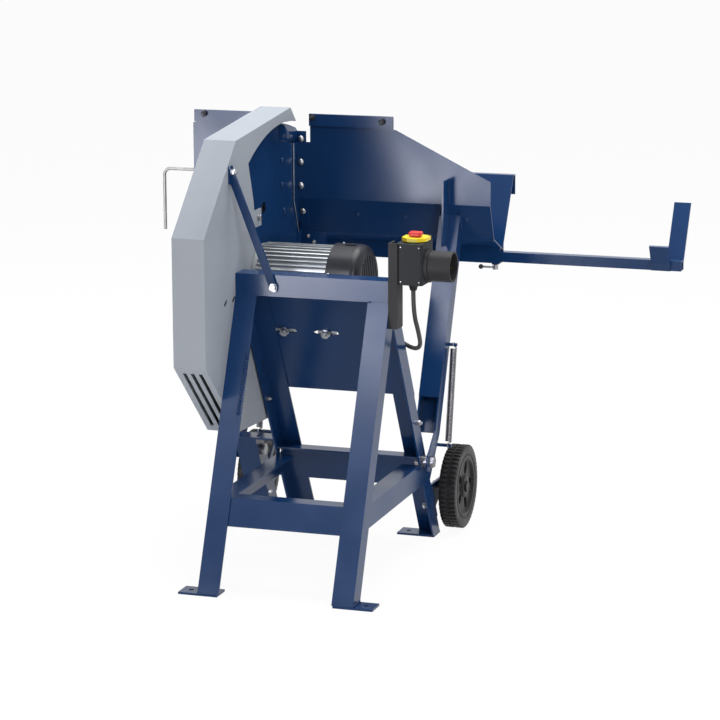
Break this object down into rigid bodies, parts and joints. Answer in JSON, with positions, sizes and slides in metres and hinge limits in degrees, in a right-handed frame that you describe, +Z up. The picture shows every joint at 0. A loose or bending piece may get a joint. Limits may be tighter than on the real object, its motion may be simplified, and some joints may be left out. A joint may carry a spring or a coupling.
{
  "type": "firewood saw",
  "caption": "Firewood rocker saw: a swinging log trough brings logs to a guarded round blade, driven straight by a finned motor on an angle-iron stand with transport wheels.",
  "frame": {"origin": "bottom centre of the bounding box, on the floor under the stand", "axes": "+X along the blade shaft towards the log extension, +Y from the motor side to the operator side, +Z up"},
  "size_m": [1.271, 0.982, 1.009],
  "materials": {
    "blue_paint": "glossy dark blue powder coat",
    "guard_paint": "satin light grey powder coat",
    "motor_cast": "cast aluminium, silver",
    "core_steel": "laminated core steel",
    "machined_steel": "turned steel",
    "zinc_steel": "bright zinc plate",
    "spring_steel": "plain spring wire",
    "blade_steel": "ground blade steel",
    "cowl_paint": "glossy near-black paint",
    "black_plastic": "moulded, fine grain",
    "knob_plastic": "polished ball knob",
    "switch_plastic": "dark grey moulded housing",
    "yellow_plastic": "moulded safety yellow",
    "red_plastic": "moulded safety red",
    "green_plastic": "moulded green",
    "brass_pin": "plain brass",
    "lead_rubber": "black rubber sheath",
    "wheel_plastic": "moulded solid wheel"
  },
  "bodies": {
    "stand": {"front_leg_left": "blue_paint", "front_leg_right": "blue_paint", "rear_leg_left": "blue_paint", "rear_leg_right": "blue_paint", "foot_plates": "blue_paint", "front_crossbar": "blue_paint", "rear_crossbar": "blue_paint", "side_crossbars": "blue_paint", "top_rail": "blue_paint", "motor_plate": "blue_paint", "motor_housing": "motor_cast", "motor_stator": "core_steel", "motor_shields": "motor_cast", "motor_bearings": "machined_steel", "fan_cover": "cowl_paint", "terminal_box": "cowl_paint", "motor_bolts": "zinc_steel", "guard_body": "guard_paint", "guard_cover": "guard_paint", "guard_strut": "blue_paint", "outrigger": "blue_paint", "pivot_bolts": "zinc_steel", "axle_brackets": "blue_paint", "wheel_axles": "machined_steel", "switch_bracket": "cowl_paint", "switch_box": "switch_plastic", "inlet_collar": "black_plastic", "inlet_pins": "brass_pin", "cable_glands": "black_plastic", "motor_lead": "lead_rubber", "spring_eyes": "blue_paint", "return_spring_right": "spring_steel", "return_spring_left": "spring_steel"},
    "blade": {"motor_shaft": "machined_steel", "saw_blade": "blade_steel", "blade_flanges": "machined_steel", "arbor_nut": "zinc_steel", "motor_rotor": "core_steel", "motor_fan": "black_plastic"},
    "rocker": {"trough_wall_right": "blue_paint", "trough_wall_left": "blue_paint", "trough_front": "blue_paint", "top_strips": "blue_paint", "blade_covers": "blue_paint", "cover_angles": "blue_paint", "rocker_arm_right": "blue_paint", "rocker_arm_left": "blue_paint", "arm_braces": "blue_paint", "extension_sleeve": "blue_paint", "rod_guides": "zinc_steel"},
    "extension": {"extension_tube": "blue_paint", "cradle_plates": "blue_paint"},
    "clamp": {"clamp_screw": "zinc_steel", "clamp_knob": "knob_plastic"},
    "length_stop": {"stop_rod": "zinc_steel"},
    "wheel_right": {"wheel_right": "wheel_plastic"},
    "wheel_left": {"wheel_left": "wheel_plastic"},
    "lid": {"switch_lid": "yellow_plastic"},
    "stop_pad": {"stop_pad": "red_plastic"},
    "start_button": {"start_button": "green_plastic"}
  },
  "joints": [
    {"name": "rocker_swing", "type": "hinge", "parent": "stand", "child": "rocker", "pos_m": [-0.0755, 0.041, 0.207], "axis": [1, 0, 0], "range_deg": [0, 25], "stiffness_Nm_per_rad": 16, "springref_deg": -14.32, "deforming": ["return_spring_right", "return_spring_left"]},
    {"name": "blade_spin", "type": "hinge", "parent": "stand", "child": "blade", "pos_m": [-0.3015, -0.056, 0.641], "axis": [1, 0, 0], "continuous": true},
    {"name": "wheel_right_spin", "type": "hinge", "parent": "stand", "child": "wheel_right", "pos_m": [0.1325, 0.227, 0.105], "axis": [1, 0, 0], "continuous": true},
    {"name": "wheel_left_spin", "type": "hinge", "parent": "stand", "child": "wheel_left", "pos_m": [-0.3755, 0.227, 0.105], "axis": [1, 0, 0], "continuous": true},
    {"name": "extension_slide", "type": "slide", "parent": "rocker", "child": "extension", "axis": [1, 0, 0], "range_m": [-0.3, 0]},
    {"name": "clamp_turn", "type": "hinge", "parent": "rocker", "child": "clamp", "pos_m": [0.1805, 0.374, 0.608], "axis": [0, 0, 1], "range_deg": [0, 180]},
    {"name": "length_stop_slide", "type": "slide", "parent": "rocker", "child": "length_stop", "axis": [1, 0, 0], "range_m": [-0.09, 0.015]},
    {"name": "lid_open", "type": "hinge", "parent": "stand", "child": "lid", "pos_m": [0.156, -0.162, 0.773], "axis": [-1, 0, 0], "range_deg": [0, 100]},
    {"name": "stop_pad_press", "type": "slide", "parent": "lid", "child": "stop_pad", "axis": [0, 0, -1], "range_m": [0, 0.003], "stiffness_N_per_m": 800, "springref_m": -0.002},
    {"name": "start_button_press", "type": "slide", "parent": "stand", "child": "start_button", "axis": [0, 0, -1], "range_m": [0, 0.003], "stiffness_N_per_m": 800, "springref_m": -0.002}
  ]
}
